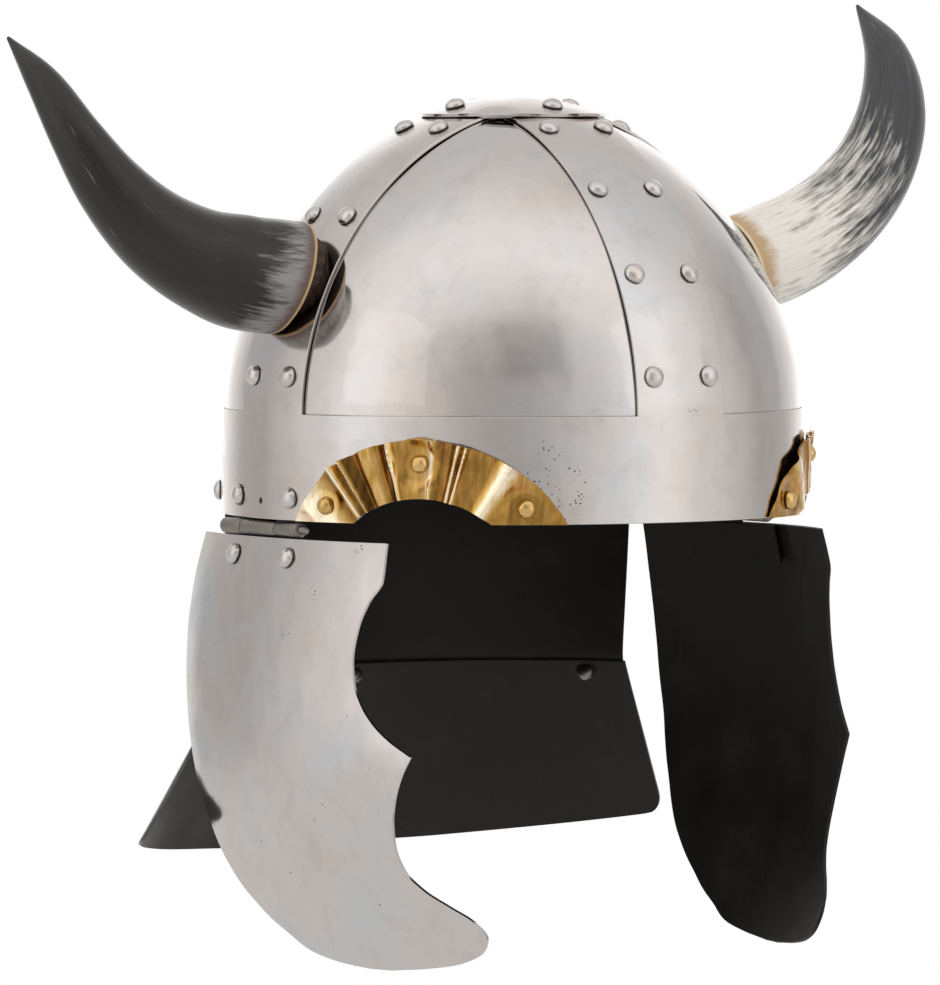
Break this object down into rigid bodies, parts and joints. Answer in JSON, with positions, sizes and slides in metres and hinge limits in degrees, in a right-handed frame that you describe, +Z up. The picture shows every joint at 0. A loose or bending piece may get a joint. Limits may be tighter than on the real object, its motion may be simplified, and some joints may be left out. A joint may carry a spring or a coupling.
{
  "type": "horned steel helmet with hinged cheek guards and neck guard",
  "caption": "Riveted steel dome helmet with natural horns, ruffled brass arcs over the eye arches, hinged cheek guards and a flared neck guard.",
  "frame": {"origin": "middle of the rim plane, where the helmet sits on a head", "axes": "+X to the wearer's left, +Y to the back, +Z up; the face opening faces -Y"},
  "size_m": [0.3927, 0.2507, 0.3523],
  "materials": {
    "steel_polished": "hand polished, with faint scratches, dents and pits",
    "steel_blackened": "blackened, dull",
    "brass": "polished, slightly tarnished",
    "horn_dark": "polished dark natural horn, greyish and streaked near its foot",
    "horn_pale": "polished pale natural horn with dark streaks and a dark tip",
    "plug_wood": "plain turned wood"
  },
  "bodies": {
    "helmet": {"frame": "steel_polished", "panel_front_right": "steel_polished", "panel_rear_right": "steel_polished", "panel_front_left": "steel_polished", "panel_rear_left": "steel_polished", "crown_plate": "steel_polished", "crown_rivet_1": "steel_polished", "crown_rivet_2": "steel_polished", "crown_rivet_3": "steel_polished", "crown_rivet_4": "steel_polished", "front_rivet_1": "steel_polished", "front_rivet_2": "steel_polished", "front_rivet_3": "steel_polished", "front_rivet_4": "steel_polished", "front_rivet_5": "steel_polished", "front_rivet_6": "steel_polished", "front_rivet_7": "steel_polished", "front_rivet_8": "steel_polished", "side_rivet_right_1": "steel_polished", "side_rivet_right_2": "steel_polished", "side_rivet_right_3": "steel_polished", "side_rivet_right_4": "steel_polished", "side_rivet_right_5": "steel_polished", "side_rivet_right_6": "steel_polished", "side_rivet_left_1": "steel_polished", "side_rivet_left_2": "steel_polished", "side_rivet_left_3": "steel_polished", "side_rivet_left_4": "steel_polished", "side_rivet_left_5": "steel_polished", "side_rivet_left_6": "steel_polished", "neck_plate": "steel_blackened", "neck_flare": "steel_blackened", "horn_right": "horn_dark", "horn_plug_right": "plug_wood", "brow_arc_right": "brass", "brow_arc_rivet_right_1": "brass", "brow_arc_rivet_right_2": "brass", "brow_arc_rivet_right_3": "brass", "hinge_upper_right": "steel_blackened", "hinge_pin_right": "steel_polished", "hinge_rivet_right_1": "steel_polished", "hinge_rivet_right_2": "steel_polished", "horn_left": "horn_pale", "horn_plug_left": "plug_wood", "brow_arc_left": "brass", "brow_arc_rivet_left_1": "brass", "brow_arc_rivet_left_2": "brass", "brow_arc_rivet_left_3": "brass", "hinge_upper_left": "steel_blackened", "hinge_pin_left": "steel_polished", "hinge_rivet_left_1": "steel_polished", "hinge_rivet_left_2": "steel_polished"},
    "cheek_right": {"cheek_plate_right": "steel_polished", "hinge_lower_right": "steel_blackened", "cheek_rivet_right_1": "steel_polished", "cheek_rivet_right_2": "steel_polished"},
    "cheek_left": {"cheek_plate_left": "steel_polished", "hinge_lower_left": "steel_blackened", "cheek_rivet_left_1": "steel_polished", "cheek_rivet_left_2": "steel_polished"}
  },
  "joints": [
    {"name": "cheek_right_hinge", "type": "hinge", "parent": "helmet", "child": "cheek_right", "pos_m": [-0.106, 0.0056, -0.0034], "axis": [0, 1, 0], "range_deg": [-10, 95]},
    {"name": "cheek_left_hinge", "type": "hinge", "parent": "helmet", "child": "cheek_left", "pos_m": [0.106, 0.0056, -0.0034], "axis": [0, -1, 0], "range_deg": [-10, 95]}
  ]
}
